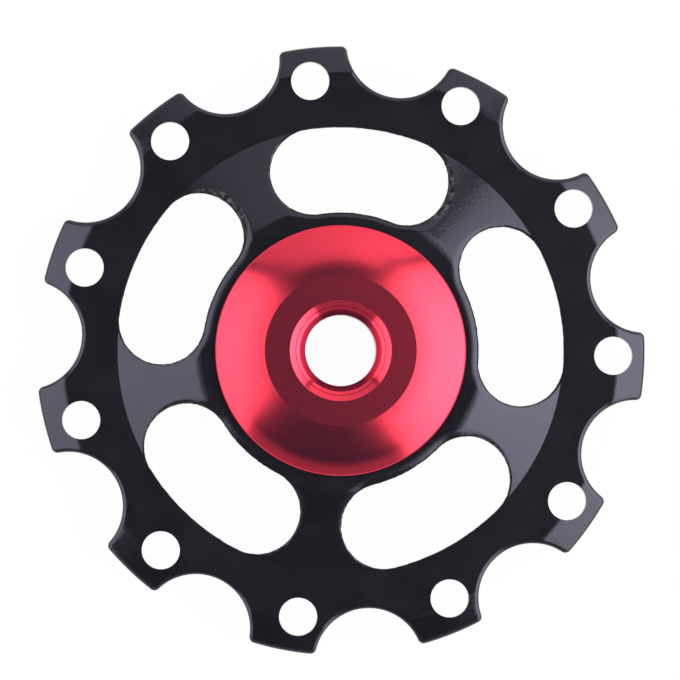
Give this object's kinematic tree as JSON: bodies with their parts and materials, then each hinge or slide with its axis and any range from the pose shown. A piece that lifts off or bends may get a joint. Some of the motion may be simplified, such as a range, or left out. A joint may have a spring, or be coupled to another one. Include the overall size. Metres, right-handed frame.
{
  "type": "derailleur jockey wheel",
  "caption": "Toothed guide pulley for a bicycle derailleur: slotted black alloy wheel on a sealed ball bearing between two red conical caps with a through bore for the axle bolt.",
  "frame": {"origin": "on the axle's axis, in the middle plane of the teeth", "axes": "+Z along the axle, out of the front cap; one tooth points to +Y"},
  "size_m": [0.0438, 0.0436, 0.0084],
  "materials": {
    "black_anodised": "gloss black anodised aluminium",
    "red_anodised": "bright red anodised aluminium, turned",
    "bearing_steel": "ground and polished bearing steel",
    "seal_rubber": "black moulded rubber",
    "cage_nylon": "natural moulded nylon"
  },
  "bodies": {
    "hub": {"front_cap": "red_anodised", "rear_cap": "red_anodised", "bearing_inner_ring": "bearing_steel"},
    "wheel": {"toothed_wheel": "black_anodised", "bearing_outer_ring": "bearing_steel", "bearing_seal_front": "seal_rubber", "bearing_seal_rear": "seal_rubber"},
    "ball_cage": {"bearing_cage": "cage_nylon"},
    "rolling_ball_1": {"ball_1": "bearing_steel"},
    "rolling_ball_2": {"ball_2": "bearing_steel"},
    "rolling_ball_3": {"ball_3": "bearing_steel"},
    "rolling_ball_4": {"ball_4": "bearing_steel"},
    "rolling_ball_5": {"ball_5": "bearing_steel"},
    "rolling_ball_6": {"ball_6": "bearing_steel"},
    "rolling_ball_7": {"ball_7": "bearing_steel"},
    "rolling_ball_8": {"ball_8": "bearing_steel"},
    "rolling_ball_9": {"ball_9": "bearing_steel"}
  },
  "joints": [
    {"name": "wheel_spin", "type": "hinge", "parent": "hub", "child": "wheel", "pos_m": [0, 0, 0], "axis": [0, 0, 1], "continuous": true},
    {"name": "cage_spin", "type": "hinge", "parent": "hub", "child": "ball_cage", "pos_m": [0, 0, 0], "axis": [0, 0, 1], "continuous": true},
    {"name": "ball_1_spin", "type": "hinge", "parent": "ball_cage", "child": "rolling_ball_1", "pos_m": [0, 0.006, 0], "axis": [0, 0, 1], "continuous": true},
    {"name": "ball_2_spin", "type": "hinge", "parent": "ball_cage", "child": "rolling_ball_2", "pos_m": [-0.00386, 0.0046, 0], "axis": [0, 0, 1], "continuous": true},
    {"name": "ball_3_spin", "type": "hinge", "parent": "ball_cage", "child": "rolling_ball_3", "pos_m": [-0.00591, 0.00104, 0], "axis": [0, 0, 1], "continuous": true},
    {"name": "ball_4_spin", "type": "hinge", "parent": "ball_cage", "child": "rolling_ball_4", "pos_m": [-0.0052, -0.003, 0], "axis": [0, 0, 1], "continuous": true},
    {"name": "ball_5_spin", "type": "hinge", "parent": "ball_cage", "child": "rolling_ball_5", "pos_m": [-0.00205, -0.00564, 0], "axis": [0, 0, 1], "continuous": true},
    {"name": "ball_6_spin", "type": "hinge", "parent": "ball_cage", "child": "rolling_ball_6", "pos_m": [0.00205, -0.00564, 0], "axis": [0, 0, 1], "continuous": true},
    {"name": "ball_7_spin", "type": "hinge", "parent": "ball_cage", "child": "rolling_ball_7", "pos_m": [0.0052, -0.003, 0], "axis": [0, 0, 1], "continuous": true},
    {"name": "ball_8_spin", "type": "hinge", "parent": "ball_cage", "child": "rolling_ball_8", "pos_m": [0.00591, 0.00104, 0], "axis": [0, 0, 1], "continuous": true},
    {"name": "ball_9_spin", "type": "hinge", "parent": "ball_cage", "child": "rolling_ball_9", "pos_m": [0.00386, 0.0046, 0], "axis": [0, 0, 1], "continuous": true}
  ],
  "couplings": [
    {"joint": "cage_spin", "follows": "wheel_spin", "ratio": 0.59921},
    {"joint": "ball_1_spin", "follows": "wheel_spin", "ratio": 2.4207},
    {"joint": "ball_2_spin", "follows": "wheel_spin", "ratio": 2.4207},
    {"joint": "ball_3_spin", "follows": "wheel_spin", "ratio": 2.4207},
    {"joint": "ball_4_spin", "follows": "wheel_spin", "ratio": 2.4207},
    {"joint": "ball_5_spin", "follows": "wheel_spin", "ratio": 2.4207},
    {"joint": "ball_6_spin", "follows": "wheel_spin", "ratio": 2.4207},
    {"joint": "ball_7_spin", "follows": "wheel_spin", "ratio": 2.4207},
    {"joint": "ball_8_spin", "follows": "wheel_spin", "ratio": 2.4207},
    {"joint": "ball_9_spin", "follows": "wheel_spin", "ratio": 2.4207}
  ]
}
